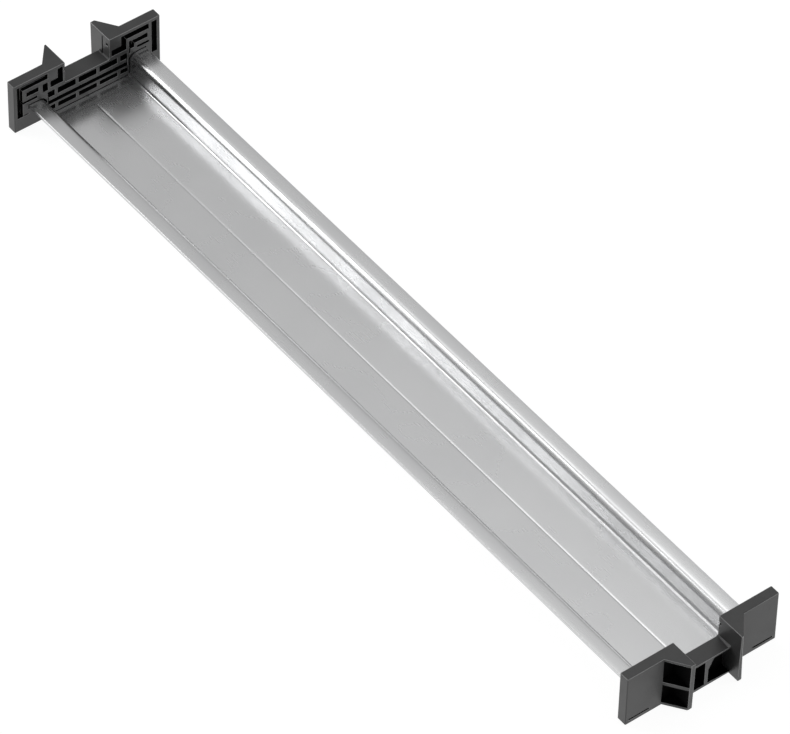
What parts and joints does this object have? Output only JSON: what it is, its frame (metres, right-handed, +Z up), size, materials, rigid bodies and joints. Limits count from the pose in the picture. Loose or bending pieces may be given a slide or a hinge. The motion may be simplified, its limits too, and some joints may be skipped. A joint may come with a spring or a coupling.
{
  "type": "din rail with end caps",
  "caption": "Cut length of top-hat mounting rail in galvanised steel, with a moulded plastic end cap pushed onto each end.",
  "frame": {"origin": "under the middle of the rail's base, on the plane that the rail lies on", "axes": "+X along the rail, +Y across it, +Z up, the way the rail's open side faces"},
  "size_m": [0.2504, 0.0438, 0.0157],
  "materials": {
    "galvanised_steel": "zinc-plated satin",
    "cap_plastic": "fine matt moulded"
  },
  "bodies": {
    "root": {"rail": "galvanised_steel", "end_cap_left": "cap_plastic", "end_cap_right": "cap_plastic"}
  },
  "joints": []
}
